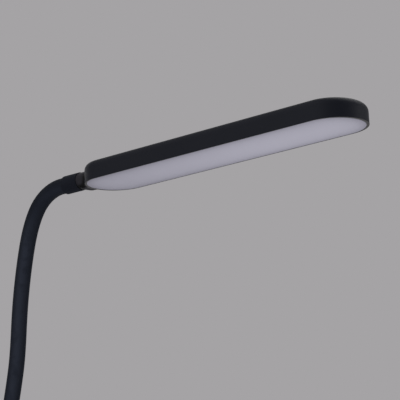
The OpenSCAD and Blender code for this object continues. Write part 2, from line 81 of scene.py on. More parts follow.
# Radii of eased edges
RIM_EDGE, MOUTH_EDGE, PLATE_EDGE, PLATE_BACK_EDGE = 0.15, 0.06, 0.12, 0.2
CUP_LIP_EDGE, CUP_EDGE, TUBE_EDGE, COLLAR_EDGE, COVE_EDGE = 0.15, 0.35, 0.5, 0.3, 0.5
CAP_EDGE, CAP_SEAM_EDGE, BUTTON_EDGE, DISH_EDGE, DISH_FLOOR_EDGE = 0.4, 0.5, 0.6, 0.5, 0.3
# Dish of a button, and the beads that make its mark
DISH_R, DISH_FLOOR_R, DISH_WALL_D, DISH_D = 2.9, 2.4, 0.3, 0.35
MARK_HALF, MARK_R, MARK_SINK = 1.3, 0.22, 0.34
# Floor
FLOOR_HOLE_R, FLOOR_R, FLOOR_DROP = 108.0, 400000.0, 0.1


def linear(code):
    """Linear RGBA of an sRGB hex colour."""
    c = np.array([int(code[i:i + 2], 16) for i in (1, 3, 5)]) / 255
    return (*np.where(c <= 0.04045, c / 12.92, ((c + 0.055) / 1.055) ** 2.4).tolist(), 1.0)


# Shapes

JOIN_M = 1e-7  # points closer than this are one point
CLOSE = 0.01  # millimetres within which two sizes of an outline count as one
ON_RIM = 0.1  # millimetres above the rim's plane within which the housing is milled


def ramp(value, start, end):
    """0 up to start, 1 from end on, and a straight line between them."""
    return np.clip((value - start) / (end - start), 0, 1)


def rounded(corners, closed=True, steps=6, support=1.2, share=0.3):
    """Outline through corners (a, b, radius): each corner becomes an arc that touches both of its
    sides. The third column is 1 on the arcs and 0 from a short way along the sides, for wear. That
    way is the support, or a share of a short side."""
    p = np.array([c[:2] for c in corners], float)
    out = []
    for i, (a, b, radius) in enumerate(corners):
        c = p[i]
        if radius == 0 or (not closed and i in (0, len(p) - 1)):
            out.append([[a, b, 0]])
            continue
        u, v = p[i - 1] - c, p[(i + 1) % len(p)] - c
        lu, lv = np.linalg.norm(u), np.linalg.norm(v)
        u, v = u / lu, v / lv
        half = np.arccos(np.clip(u @ v, -1, 1)) / 2
        cut = radius / np.tan(half)
        centre = c + (u + v) / np.linalg.norm(u + v) * radius / np.sin(half)
        start, end = c + u * cut - centre, c + v * cut - centre
        w = np.pi - 2 * half
        k = np.linspace(0, 1, steps + 1)[:, None]
        arc = centre + (np.sin((1 - k) * w) * start + np.sin(k * w) * end) / np.sin(w)
        before = c + u * (cut + min(support, share * lu))
        after = c + v * (cut + min(support, share * lv))
        out.append(np.vstack([[*before, 0], np.c_[arc, np.ones(steps + 1)], [*after, 0]]))
    return np.vstack(out)


def surface(name, grid, material, wrap=(False, False), edge=None, sharp=35, band=None):
    """Mesh of a grid of points (rows, columns, xyz in millimetres), closed round in the directions
    that wrap; points that fall together are joined, which closes the poles. A band (material,
    flags for the faces) gives those faces a second material."""
    n, m = grid.shape[:2]
    at = np.arange(n * m).reshape(n, m)
    at = np.vstack([at, at[:1]]) if wrap[0] else at
    at = np.hstack([at, at[:, :1]]) if wrap[1] else at
    quads = np.stack([at[:-1, :-1], at[1:, :-1], at[1:, 1:], at[:-1, 1:]], -1).reshape(-1, 4)
    mesh = bpy.data.meshes.new(name)
    mesh.from_pydata((grid.reshape(-1, 3) * MM).tolist(), [], quads.tolist())
    mesh.materials.append(material)
    if band:
        mesh.materials.append(band[0])
        flags = np.broadcast_to(band[1], (at.shape[0] - 1, at.shape[1] - 1))
        mesh.polygons.foreach_set("material_index", flags.ravel().astype(np.int32))
    wear_and_painted_light = np.zeros(n * m) if edge is None else np.ascontiguousarray(edge).ravel()
    mesh.attributes.new("edge", "FLOAT", "POINT").data.foreach_set("value", wear_and_painted_light)
    bm = bmesh.new()
    bm.from_mesh(mesh)
    bmesh.ops.remove_doubles(bm, verts=bm.verts, dist=JOIN_M)
    bmesh.ops.recalc_face_normals(bm, faces=bm.faces)
    bm.to_mesh(mesh)
    bm.free()
    mesh.shade_smooth()
    mesh.set_sharp_from_angle(angle=np.radians(sharp))
    piece = bpy.data.objects.new(name, mesh)
    bpy.context.scene.collection.objects.link(piece)
    return piece


def lathe(outline, place, turns=96):
    """Points and wear of an outline (radius, height, wear) turned round an axis; place maps the
    turned x, y and height to the lamp's frame."""
    a = np.linspace(0, 2 * np.pi, turns, endpoint=False)[:, None]
    r, h, wear_and_painted_light = outline.T
    return place(r * np.cos(a), r * np.sin(a), h + 0 * a), wear_and_painted_light + 0 * a


def oblong(outline, x0, x1, place, ends=None, arc=48, side=24):
    """Points and third value of an outline (distance out, height, and a third value: wear, or painted
    shade on the diffuser) carried round a shape with straight sides from x0 to x1 and round ends: a
    foot point on the middle line plus the distance out. Each point of the outline may have its own x0
    and x1. Other outlines may take over at the two ends, by the squared cosine of the turn."""
    half = np.linspace(-np.pi / 2, np.pi / 2, arc, endpoint=False)
    run = np.linspace(0, 1, side, endpoint=False)
    far = np.r_[np.ones(arc), 1 - run, np.zeros(arc), run][:, None]
    turn = np.r_[half, np.full(side, np.pi / 2), half + np.pi, np.full(side, 1.5 * np.pi)]
    d, h, wear_and_painted_light = outline.T
    if ends is not None:
        share, none = np.cos(half) ** 2, np.zeros(arc + side)
        at_x0 = np.r_[none, share, none[arc:]][:, None]
        at_x1 = np.r_[share, none, none[arc:]][:, None]
        d, h = ((1 - at_x0 - at_x1) * outline[:, i] + at_x0 * ends[0][:, i]
                + at_x1 * ends[1][:, i] for i in (0, 1))
    x = x0 + (x1 - x0) * far + d * np.cos(turn)[:, None]
    y = d * np.sin(turn)[:, None]
    return place(x, y, h + 0 * x), wear_and_painted_light + 0 * x


lean = np.radians(HEAD_LEAN)
along = np.array([np.sin(lean), 0, np.cos(lean)])
out = np.array([-np.cos(lean), 0, np.sin(lean)])
across_y = np.array([0, 1, 0])
hinges = [j for j in frame["joints"] if j["type"] == "hinge"]
bends = np.array([j["pos_m"] for j in hinges]) / MM
foot_low, foot_high = (corner.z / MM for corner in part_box("foot_ferrule"))
foot = np.array([0, 0, foot_high])
arm_end = bends[-1] + along * TIP_L


def upright(x, y, z):
    """The lamp's own axes."""
    return np.stack([x, y, z], -1)


def on_head(x, y, z):
    """Head axes: x from the arm's end along the head, z up from the neck's axis."""
    return arm_end + x[..., None] * along + y[..., None] * across_y + z[..., None] * out


def round_neck(x, y, z):
    """Head axes for a turned piece: its height runs along the head."""
    return on_head(z, x, y)


def at_button(row):
    """Axes of a button in its row, counted from the middle one: height runs to the front, +X."""
    middle = BUTTON_MID + row * BUTTON_PITCH
    return lambda x, y, z: np.stack([z, x, y + middle], -1)


# Materials

NOISE_SPAN = {"From Min": 0.3, "From Max": 0.7}  # where most of a noise texture's values lie
ROUGH_VARIES = 0.06
BUMP_STRENGTH = 0.6
PATCH_MM = 9.0  # size of the patches of wear and of painted shade and highlight


def put(tree, kind, sockets, **settings):
    """Adds a node, sets its settings, and fills its sockets with values or links."""
    made = tree.nodes.new("ShaderNode" + kind)
    for key, value in settings.items():
        setattr(made, key, value)
    for key, value in sockets.items():
        if isinstance(value, bpy.types.NodeSocket):
            tree.links.new(value, made.inputs[key])
        else:
            made.inputs[key].default_value = value
    return made


def finish(name, colours, roughness, grain_mm, bump_mm, metallic=0.0, specular=0.5, ior=1.5,
           blotch_mm=60.0, wear_and_painted_light=None, patchy=(0.42, 0.68), cells=False):
    """Surface finish: two close colours in broad blotches, a fine grain that varies the roughness
    and stands up as bump, and a third colour where the edge attribute says so, in patches."""
    material = bpy.data.materials.new(name)
    material.use_nodes = True
    tree = material.node_tree
    shader = tree.nodes["Principled BSDF"]
    place = put(tree, "TexCoord", {}).outputs["Object"]

    def noise(size_mm, detail):
        """Noise texture with features of this size."""
        sockets = {"Vector": place, "Scale": 1 / (size_mm * MM), "Detail": detail}
        return put(tree, "TexNoise", sockets).outputs["Fac"]

    blotch = noise(blotch_mm, 4.0)
    if cells:
        pores = put(tree, "TexVoronoi", {"Vector": place, "Scale": 1 / (grain_mm * MM)})
        grain = pores.outputs["Distance"]
    else:
        grain = noise(grain_mm, 3.0)
    spread = put(tree, "MapRange", {"Value": blotch, **NOISE_SPAN}).outputs[0]
    colour = put(tree, "Mix", {0: spread, 6: linear(colours[0]), 7: linear(colours[1])},
                 data_type="RGBA").outputs[2]
    # The third colour is wear on most finishes; on the diffuser and the neck it is painted shade, on the sleeve a
    # painted highlight.
    if wear_and_painted_light:
        edge = put(tree, "Attribute", {}, attribute_name="edge").outputs["Fac"]
        patch_span = {"Value": noise(PATCH_MM, 5.0), "From Min": patchy[0], "From Max": patchy[1]}
        patch = put(tree, "MapRange", patch_span).outputs[0]
        amount = put(tree, "Math", {0: edge, 1: patch}, operation="MULTIPLY").outputs[0]
        colour = put(tree, "Mix", {0: amount, 6: colour, 7: linear(wear_and_painted_light)},
                     data_type="RGBA").outputs[2]
    rough = put(tree, "MapRange", {"Value": grain, **NOISE_SPAN, "To Min": roughness - ROUGH_VARIES,
                                   "To Max": roughness + ROUGH_VARIES})
    relief = put(tree, "Bump", {"Height": grain, "Distance": bump_mm * MM,
                                "Strength": BUMP_STRENGTH})
    tree.links.new(colour, shader.inputs["Base Color"])
    tree.links.new(rough.outputs[0], shader.inputs["Roughness"])
    tree.links.new(relief.outputs[0], shader.inputs["Normal"])
    shader.inputs["Metallic"].default_value = metallic
    shader.inputs["Specular IOR Level"].default_value = specular
    shader.inputs["IOR"].default_value = ior
    return material


# Powder-coated steel sheet: deep black with a fine orange peel, paler where corners rub.
# The peel is really 0.6 mm wide and is drawn at 1.2 mm so that it shows.
powder_coat = finish("black_powder_coated_steel", ("#15181e", "#1a1d23"), 0.42, 1.2, 0.05,
                     specular=0.4, wear_and_painted_light="#2b2d32")
# Bead-blasted and black-anodised aluminium: satin, even, with a very fine tooth.
# The tooth is really 0.1 mm wide and is drawn at 0.7 mm.
anodised = finish("black_anodised_aluminium", ("#13151d", "#161820"), 0.5, 0.7, 0.02,
                  specular=0.1, blotch_mm=80)
# The same aluminium turned on a lathe before it was dyed: a little paler and duller.
# The turning marks are really 0.05 mm apart and are drawn at 0.5 mm.
turned = finish("turned_black_anodised_aluminium", ("#191b22", "#1d1f26"), 0.6, 0.5, 0.01,
                specular=0.02, blotch_mm=30, wear_and_painted_light="#202127")
# The same aluminium where the rim was milled flat: smoother and a trace browner, and it mirrors
# the room at a low angle. The cutter marks are really 0.05 mm apart and are drawn at 0.5 mm.
milled = finish("milled_black_anodised_aluminium", ("#1e1c1b", "#23211f"), 0.3, 0.5, 0.002,
                specular=0.2, blotch_mm=40)
# Satin-painted zinc casting of the neck: a little greyer than the housing, with painted shade,
# nearly black, in its front hollow and on the lower side of its first part.
casting = finish("satin_painted_zinc_casting", ("#252429", "#29282d"), 0.5, 0.8, 0.004,
                 specular=0.08, blotch_mm=20, wear_and_painted_light="#060607", patchy=(-1, -0.5))
# Extruded silicone sleeve: soft matt black, with a painted highlight of pale blue-grey along its
# front. The drag of the die is really 0.2 mm wide and is drawn at 0.8 mm.
silicone = finish("extruded_silicone_sleeve", ("#12151d", "#171a22"), 0.6, 0.8, 0.03,
                  specular=0.06, ior=1.42, blotch_mm=35, wear_and_painted_light="#2b2f39", patchy=(0.0, 0.5))
# Opal acrylic sheet, satin on the outside: milky grey with a trace of violet, with painted shade
# towards its edge.
opal = finish("satin_opal_acrylic", ("#a4a2af", "#a8a6b3"), 0.42, 0.6, 0.01, specular=0.4,
              ior=1.49, blotch_mm=120, wear_and_painted_light="#7e7c89", patchy=(-0.2, 0.4))
# Injection-moulded ABS with a spark-eroded texture: dull black, fine pimples drawn at 0.6 mm.
abs_shell = finish("spark_textured_abs", ("#16181d", "#1a1c21"), 0.52, 0.6, 0.04,
                   specular=0.35, wear_and_painted_light="#2e2f33")
# The same plastic from a polished mould: smoother and a little glossier.
abs_panel = finish("polished_abs", ("#202125", "#242529"), 0.3, 1.5, 0.01, specular=0.45)
# Moulded silicone rubber buttons: charcoal, dry and soft.
button_rubber = finish("moulded_button_rubber", ("#3a3b40", "#404147"), 0.6, 0.5, 0.02,
                       specular=0.35, ior=1.42, wear_and_painted_light="#4c4d53")
# Pad-printed ink on the buttons: flat pale grey, slightly uneven.
mark_ink = finish("pad_printed_ink", ("#b9babd", "#c6c7ca"), 0.6, 0.3, 0.01)
# Closed-cell foam sheet under the base: dark, with 0.9 mm cells cut open at the skin.
foam = finish("closed_cell_foam", ("#232327", "#2a2a2f"), 0.85, 0.9, 0.2, specular=0.2,
              cells=True)
# Moulded rubber bush: dull black with a slight bloom.
rubber = finish("moulded_rubber", ("#131315", "#19191c"), 0.7, 0.6, 0.03, specular=0.3,
                blotch_mm=6)
# Zinc-plated steel: bright grey with a soft cloudy passivation.
zinc = finish("zinc_plated_steel", ("#a9abaf", "#bdbfc2"), 0.32, 0.8, 0.01, metallic=1.0,
              blotch_mm=7)
# Sand-cast iron: dark grey skin with grains of 1.5 mm.
cast_iron = finish("sand_cast_iron", ("#343538", "#434447"), 0.7, 1.5, 0.3, metallic=0.3,
                   blotch_mm=20)
# Moulded polypropylene closing plate: charcoal with a waxy dullness.
polypropylene = finish("moulded_polypropylene", ("#27282b", "#2d2e31"), 0.55, 0.8, 0.03)
# Drawn spring steel of the arm's core: grey with fine draw lines.
core_steel = finish("drawn_spring_steel", ("#84868a", "#95979b"), 0.35, 0.5, 0.02, metallic=1.0,
                    blotch_mm=9)
# Natural nylon terminal block: creamy and a little waxy.
nylon = finish("natural_nylon", ("#d5d2c8", "#dedcd4"), 0.5, 0.8, 0.02, blotch_mm=8)
# PVC wire covering: off-white and smooth.
pvc = finish("extruded_pvc", ("#e0ded7", "#e8e6e1"), 0.4, 0.8, 0.01, blotch_mm=15)
# Glass-epoxy circuit board under green mask: a faint weave of 0.5 mm, drawn at 1 mm.
glass_epoxy = finish("masked_glass_epoxy", ("#1a5c3b", "#22714a"), 0.35, 1.0, 0.02, blotch_mm=10)
# Glass-filled nylon switch bodies: black and dry.
switch_nylon = finish("glass_filled_nylon", ("#101011", "#161618"), 0.6, 0.4, 0.02)
# White polycarbonate reflector: bright, even and dull.
reflector = finish("white_polycarbonate", ("#eeeeec", "#f4f4f2"), 0.6, 1.0, 0.01, blotch_mm=40)
# White-masked aluminium diode board: smooth and bright.
white_mask = finish("white_masked_board", ("#e4e4e1", "#ececea"), 0.4, 1.0, 0.01, blotch_mm=40)
# Diode packages: yellow phosphor gel in a white frame, cloudy at 1 mm.
phosphor = finish("phosphor_gel", ("#ecd06a", "#f3e08e"), 0.35, 0.8, 0.02, blotch_mm=1.2)

finishes = {
    "black_paint": powder_coat, "cast_iron": cast_iron, "plate_plastic": polypropylene,
    "foam": foam, "zinc_steel": zinc, "grommet_rubber": rubber, "terminal_plastic": nylon,
    "lead_pvc": pvc, "control_plastic": abs_shell, "button_plastic": button_rubber,
    "board": glass_epoxy, "switch_plastic": switch_nylon, "sleeve": silicone,
    "core_steel": core_steel, "black_aluminium": anodised, "opal": opal,
    "tray_plastic": reflector, "led_board": white_mask, "led": phosphor}
for part in frame["record"]["subparts"]:
    for slot in frame["nodes"][part["node"]].material_slots:
        slot.material = finishes[part["material_slot"]]
for slot in frame["nodes"]["control_panel"].material_slots:
    slot.material = abs_panel


# Pieces

def dress(piece, body, slot, *nodes):
    """A rigid piece that moves with a body and stands for solids."""
    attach(piece, body)
    if nodes:
        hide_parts(*nodes)


def turn_piece(name, outline, material, body, slot, node, place=upright, closed=True):
    """A rigid piece turned from an outline, which stands for one solid."""
    points, wear_and_painted_light = lathe(outline, place)
    dress(surface(name, points, material, wrap=(True, closed), edge=wear_and_painted_light), body, slot, node)


# Camera: a long lens below the head, to its front right
CAMERA_AZ, CAMERA_EL, CAMERA_REACH = np.radians(40.374), np.radians(-10.583), 1200.0
AIM_PAST_APEX, AIM_ABOVE_RIM, SHIFT_LEFT, SHIFT_DOWN = 141.5, 8.5, 7.0, 44.0
SENSOR_MM, FOCAL_PX, FRAME_PX = 36, 1360, 400
back = np.array([np.sin(CAMERA_AZ) * np.cos(CAMERA_EL), -np.cos(CAMERA_AZ) * np.cos(CAMERA_EL),
                 np.sin(CAMERA_EL)])
right = np.array([np.cos(CAMERA_AZ), np.sin(CAMERA_AZ), 0])
up = np.cross(back, right)
aim = arm_end + (APEX_X + AIM_PAST_APEX) * along + (AIM_ABOVE_RIM - NECK_Z) * out
eye = aim + CAMERA_REACH * back - SHIFT_LEFT * right - SHIFT_DOWN * up
lens = bpy.data.cameras.new("camera")
lens.sensor_fit, lens.sensor_width = "HORIZONTAL", SENSOR_MM
lens.lens = SENSOR_MM * FOCAL_PX / FRAME_PX
lens.clip_start, lens.clip_end = 0.05, 600
camera = bpy.data.objects.new("camera", lens)
stand_at = np.eye(4)
stand_at[:3, :3] = np.stack([right, up, back], 1)
stand_at[:3, 3] = eye * MM
camera.matrix_world = Matrix(stand_at.tolist())
bpy.context.scene.collection.objects.link(camera)
bpy.context.scene.camera = camera

# Flexible arm: a smooth line through the bending points. Between two points it is a cubic whose
# end directions lean by these angles from vertical, in degrees.
ARM_LEANS = 0, 1.5, 6.5, 10.8, 12, 9.2, 1.6, 6.1, 11.2, 32.3, 83.3, HEAD_LEAN
LINE_STEPS = 160
STRAIGHT = 1e-6  # least turn between two points, so that nothing is divided by zero
BLEND_INSET = 1.0
# Painted highlight along the sleeve's front: where it lies round the ring, how far it spreads
# there, the distances from the head's end between which it thins out, and what is left of it
HIGHLIGHT_AT, HIGHLIGHT_WIDTH, HIGHLIGHT_THINS, HIGHLIGHT_LEFT = np.radians(306), 0.62, (30.0, 90.0), 0.45
knots = np.vstack([foot, bends, arm_end])
leans = np.radians(ARM_LEANS)
headings = np.stack([np.sin(leans), 0 * leans, np.cos(leans)], 1)
chords = np.linalg.norm(np.diff(knots, axis=0), axis=1)
swing = np.abs(np.diff(leans)) + STRAIGHT
pull = (chords * 2 * np.tan(swing / 4) / np.sin(swing / 2))[:, None, None]
t = np.linspace(0, 1, LINE_STEPS, endpoint=False)[None, :, None]
line = ((2 * t**3 - 3 * t**2 + 1) * knots[:-1, None]
        + (t**3 - 2 * t**2 + t) * pull * headings[:-1, None]
        + (3 * t**2 - 2 * t**3) * knots[1:, None]
        + (t**3 - t**2) * pull * headings[1:, None]).reshape(-1, 3)
line = np.vstack([foot - [0, 0, ARM_SEAT], line, arm_end, arm_end + ARM_SEAT * along])
run = np.r_[0, np.cumsum(np.linalg.norm(np.diff(line, axis=0), axis=1))]
at_bend = run[1 + LINE_STEPS * np.arange(1, len(hinges) + 1)]
stops = np.r_[0, (at_bend[:-1] + at_bend[1:]) / 2, run[-1]]


def on_line(s):
    """Points at distances along the arm's line."""
    return np.stack([np.interp(s, run, line[:, i]) for i in range(3)], -1)


def sheath(a, b, turns=56, reach=0.6):
    """Tube wall between two distances along the arm's line: rings about a millimetre apart, square
    to the line, out along the outside and back along the bore. The line's direction is taken
    between two points a short reach before and behind. The third colour is a painted highlight, a
    bell curve round the ring on the sleeve's front."""
    s = np.linspace(a, b, int(round(b - a)) + 1)
    c = on_line(s)[:, None]
    ahead = on_line(s + reach) - on_line(s - reach)
    ahead /= np.linalg.norm(ahead, axis=1, keepdims=True)
    side = np.stack([ahead[:, 2], 0 * s, -ahead[:, 0]], 1)[:, None]
    phi = np.linspace(0, 2 * np.pi, turns, endpoint=False)
    ring = np.cos(phi)[None, :, None] * side + np.sin(phi)[None, :, None] * across_y
    highlight = np.exp(-((phi - HIGHLIGHT_AT) / HIGHLIGHT_WIDTH) ** 2)
    highlight = highlight * np.maximum(ramp(run[-1] - s[:, None], *HIGHLIGHT_THINS), HIGHLIGHT_LEFT)
    walls = np.concatenate([c + SLEEVE_R * ring, (c + SLEEVE_BORE_R * ring)[::-1]])
    return walls, np.vstack([highlight, highlight[::-1]])


for k, hinge in enumerate(hinges):
    points, wear_and_painted_light = sheath(stops[k], stops[k + 1])
    piece = surface(f"sheath_{k + 1:02d}", points, silicone, wrap=(True, True), edge=wear_and_painted_light)
    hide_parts(f"arm_sleeve_{k + 1:02d}", *(["arm_sleeve_00"] if k == 0 else []))
    start = max(stops[k] + BLEND_INSET, ARM_SEAT)
    end = min(stops[k + 1] - BLEND_INSET, run[-1] - ARM_SEAT)
    start, end = (tuple((on_line(s) * MM).tolist()) for s in (start, end))
    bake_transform(piece)

# Head housing: flat top, round edge, side wall, thin rim and the ledge inside
low, high = -NECK_Z, HEAD_T - NECK_Z
ceiling = high - HEAD_TOP
bore, mouth = HEAD_R - HEAD_WALL, HEAD_R - RIM_W
ledge, ledge_r = low + RECESS + DIFFUSER_T + FIT, bore - LEDGE_W
edge_radii = (EDGE_R, INNER_EDGE_R), (NECK_EDGE_R, INNER_EDGE_R), (TIP_EDGE_R, TIP_INNER_R)
shell, neck_end, tip_end = (
    rounded([(0, high, 0), (HEAD_R, high, outer), (HEAD_R, low, RIM_EDGE),
             (mouth, low, MOUTH_EDGE), (mouth, ledge, 0), (ledge_r, ledge, 0),
             (ledge_r, ledge + LEDGE_T, 0), (bore, ledge + LEDGE_T, 0), (bore, ceiling, inner),
             (0, ceiling, 0)], closed=False, steps=8)
    for outer, inner in edge_radii)
from_middle, height, _ = shell.T
inside = np.arange(len(shell)) > np.flatnonzero(from_middle > mouth + CLOSE)[-1]
in_mouth = inside & (from_middle > bore + CLOSE)
near = np.where(in_mouth, MOUTH_NEAR_X, np.where(inside, BORE_NEAR_X, NEAR_X))
far = np.where(in_mouth, MOUTH_FAR_X, FAR_X)
points, _ = oblong(shell, near, far, on_head, ends=(neck_end, tip_end))
on_rim = height < low + ON_RIM
housing = surface("housing_shell", points, anodised, wrap=(True, False),
                  band=(milled, on_rim[:-1] & on_rim[1:]))
dress(housing, "head", "black_aluminium", "head_housing")

# Diffuser: flat plate with softened edges, a little inside the rim. Painted shade darkens it towards
# its edge, by a falling exponential of this width.
SHADE_W = 7.0
FLAT_STEPS, FLAT_MARGIN = 24, 2.0
plate_low, plate_high, plate_r = low + RECESS, low + RECESS + DIFFUSER_T, mouth - FIT
plate = rounded([(0, plate_low, 0), (plate_r, plate_low, PLATE_EDGE),
                 (plate_r, plate_high, PLATE_BACK_EDGE), (0, plate_high, 0)], closed=False)
flat = np.linspace(0, plate_r - FLAT_MARGIN, FLAT_STEPS)
plate = np.vstack([np.c_[flat, 0 * flat + plate_low, 0 * flat], plate[1:]])
plate[:, 2] = np.exp((plate[:, 0] - plate_r) / SHADE_W)
points, wear_and_painted_light = oblong(plate, MOUTH_NEAR_X, MOUTH_FAR_X, on_head)
diffuser = surface("opal_diffuser", points, opal, wrap=(True, False), edge=wear_and_painted_light)
dress(diffuser, "head", "opal", "head_diffuser")

# Neck: round at the ferrule, then a trumpet that runs into the housing's round end, with a flat
# underside just above the rim. Each ring is a rounded oblong whose half width follows a hollow arc
# and whose lower half drops to the underside; the last ring lies in the housing's wall.
NECK_ROWS, NECK_SPOKES = 56, 112
# Shares of the length where it flares and drops, and how far round its hollow arc goes
FLARE_FROM, FLARE_ARC, DROP_FROM, DROP_TO = 0.48, 0.875, 0.02, 0.52
# What the last ring gains in half width, what its top sinks, and the underside's gap to the rim
FLARE_TOP, FLARE_LOW, TOP_SINKS, UNDERSIDE_GAP = 6.2, 3.4, 1.2, 0.8
# What makes the rings squarer than an ellipse
SQUARE_TOP, SQUARE_LOW = 1.5, 6
# Bite into the wall, setback of the first ring, and the closing point behind the wall's face
NECK_BITE, NECK_SETBACK, NECK_CLOSE = 0.5, 0.2, 0.7
# Painted shade comes in between these pairs: in the front hollow along the length, from its top,
# from its foot and towards the front, and under the first part along the length and downwards
HOLLOW_ALONG, HOLLOW_TOP = (0.36, 0.56), (5.5, 3.5)
HOLLOW_FOOT, HOLLOW_FRONT = (-9.5, -7.5), (1, -4)
BELLY_ALONG, BELLY_DOWN = (0.7, 0.45), (-4, -7)
# The underside is milled from this share of the length on, up to this height above the rim
MILLED_FROM, MILLED_UP = 0.78, 1.1
phi = np.linspace(0, 2 * np.pi, NECK_SPOKES, endpoint=False)
u = np.linspace(0, 1, NECK_ROWS)[:, None]
hollow = 1 - np.sqrt(1 - (FLARE_ARC * ramp(u, FLARE_FROM, 1)) ** 2)
flare = hollow / hollow[-1]
drop = ramp(u, DROP_FROM, DROP_TO)
drop = drop**2 * (3 - 2 * drop)
c, s = np.cos(phi), np.sin(phi)
under = s < 0
power = 2 / (2 + np.where(under, SQUARE_LOW * drop, SQUARE_TOP * flare))
half_width = NECK_R + np.where(under, FLARE_LOW, FLARE_TOP) * flare
half_height = NECK_R + np.where(under, (NECK_Z - UNDERSIDE_GAP - NECK_R) * drop,
                                -TOP_SINKS * flare)
y = half_width * np.sign(c) * np.abs(c) ** power
z = half_height * np.sign(s) * np.abs(s) ** power
edge_r = EDGE_R + (1 - (y[-1] / HEAD_R) ** 2) * (NECK_EDGE_R - EDGE_R)
rise = np.clip(z[-1] - (high - edge_r), 0, edge_r)
wall_r = HEAD_R - edge_r + np.sqrt(edge_r**2 - rise**2) - NECK_BITE
end_x = NEAR_X - np.sqrt(wall_r**2 - y[-1] ** 2)
start_x = HEAD_FERRULE_L + NECK_SETBACK
x = start_x + u * (end_x - start_x)
# End face at the ferrule, as shares of the first ring, with an eased edge
face = np.array([0, 0.55, 0.9, 0.975])[:, None]
face_x = HEAD_FERRULE_L + np.array([0, 0, 0, 0.08])[:, None]
whole = np.ones(NECK_SPOKES)
x = np.vstack([face_x * whole, x, (APEX_X + NECK_CLOSE) * whole])
y = np.vstack([face * y[:1], y, 0 * y[:1]])
z = np.vstack([face * z[:1], z, 0 * z[:1]])
depth = np.vstack([0 * face, u, [[1]]])
# Painted shade in the front hollow and under the first part, shown by the casting's third colour
shade = (ramp(depth, *HOLLOW_ALONG) * ramp(z, *HOLLOW_TOP) * ramp(y, *HOLLOW_FRONT)
         * ramp(z, *HOLLOW_FOOT) + ramp(z, *BELLY_DOWN) * ramp(depth, *BELLY_ALONG))
level = (z < MILLED_UP - NECK_Z) & (depth > MILLED_FROM)
neck = surface("neck_trumpet", on_head(x, y, z), casting, wrap=(False, True),
               edge=np.clip(shade, 0, 1), band=(milled, level[:-1] & level[1:]))
dress(neck, "head", "black_aluminium", "head_neck")

# Ferrules: plain turned cups with eased edges
cup = rounded([(CUP_R, 0, CUP_LIP_EDGE), (FERRULE_R, 0, CUP_EDGE),
               (FERRULE_R, HEAD_FERRULE_L, CUP_EDGE), (HEAD_CUP_BORE_R, HEAD_FERRULE_L, 0),
               (HEAD_CUP_BORE_R, CUP_DEPTH, 0), (CUP_R, CUP_DEPTH, 0)])
turn_piece("head_ferrule_cup", cup, turned, "head", "black_aluminium", "head_ferrule", round_neck)
spigot_hole_r, cup_floor = SPIGOT_R + THREAD_GAP, foot_high - CUP_DEPTH
cup = rounded([(spigot_hole_r, foot_low, 0), (FERRULE_R, foot_low, CUP_EDGE),
               (FERRULE_R, foot_high, CUP_EDGE), (CUP_R, foot_high, CUP_LIP_EDGE),
               (CUP_R, cup_floor, 0), (spigot_hole_r, cup_floor, 0)])
turn_piece("foot_ferrule_cup", cup, turned, "stand", "black_aluminium", "foot_ferrule")

# Pole tubes with eased ends, which leave a fine groove where they meet
for i, name in enumerate(("pole_lower", "pole_middle", "pole_upper")):
    z0, z1 = POLE_Z + i * TUBE_L, POLE_Z + (i + 1) * TUBE_L
    wall = rounded([(POLE_BORE_R, z0, 0), (POLE_R, z0, TUBE_EDGE), (POLE_R, z1, TUBE_EDGE),
                    (POLE_BORE_R, z1, 0)])
    turn_piece(name + "_tube", wall, powder_coat, "stand", "black_paint", name)

# Collar at the foot of the pole: a low wall, a hollow quarter round and a flat top, with eased
# edges. The quarter round stops short of both ends by a small angle, to leave room for them.
COVE_SHORT, COVE_STEPS = 0.15, 12
top, seat = BASE_H + COLLAR_H, BASE_H + COLLAR_FLOOR
stud_hole_r, pole_hole_r = STUD_R + GAP, POLE_R + FIT
cove = [(COLLAR_R - COLLAR_CURVE * np.sin(a), top - COLLAR_CURVE * np.cos(a), 0)
        for a in np.linspace(COVE_SHORT, np.pi / 2 - COVE_SHORT, COVE_STEPS)]
collar = rounded([(stud_hole_r, BASE_H, 0), (COLLAR_R, BASE_H, COLLAR_EDGE),
                  (COLLAR_R, top - COLLAR_CURVE, COVE_EDGE), *cove,
                  (COLLAR_R - COLLAR_CURVE, top, COVE_EDGE), (pole_hole_r, top, COLLAR_EDGE),
                  (pole_hole_r, seat, 0), (stud_hole_r, seat, 0)])
turn_piece("collar_cove", collar, powder_coat, "stand", "black_paint", "pole_collar")

# End caps of the control: cones with eased edges, which leave a fine groove at the housing
thread_r, cap_low, plug_high = STUD_R + THREAD_GAP, CONTROL_Z - CAP_TAPER, CONTROL_Z + PLUG_L
cap = rounded([(thread_r, cap_low, 0), (POLE_R, cap_low, CAP_EDGE),
               (CONTROL_R, CONTROL_Z, CAP_SEAM_EDGE), (PLUG_R, CONTROL_Z, 0),
               (PLUG_R, plug_high, 0), (thread_r, plug_high, 0)])
turn_piece("lower_cap_cone", cap, abs_shell, "stand", "control_plastic", "control_cap_lower")
plug_low, cap_high = CONTROL_END - PLUG_L, CONTROL_END + CAP_TAPER
spigot_high = cap_high + SPIGOT_L
cap = rounded([(CORE_BORE_R, plug_low, 0), (PLUG_R, plug_low, 0), (PLUG_R, CONTROL_END, 0),
               (CONTROL_R, CONTROL_END, CAP_SEAM_EDGE), (FERRULE_R, cap_high, CAP_EDGE),
               (SPIGOT_R, cap_high, 0), (SPIGOT_R, spigot_high, 0), (CORE_BORE_R, spigot_high, 0)])
turn_piece("upper_cap_cone", cap, abs_shell, "stand", "control_plastic", "control_cap_upper")

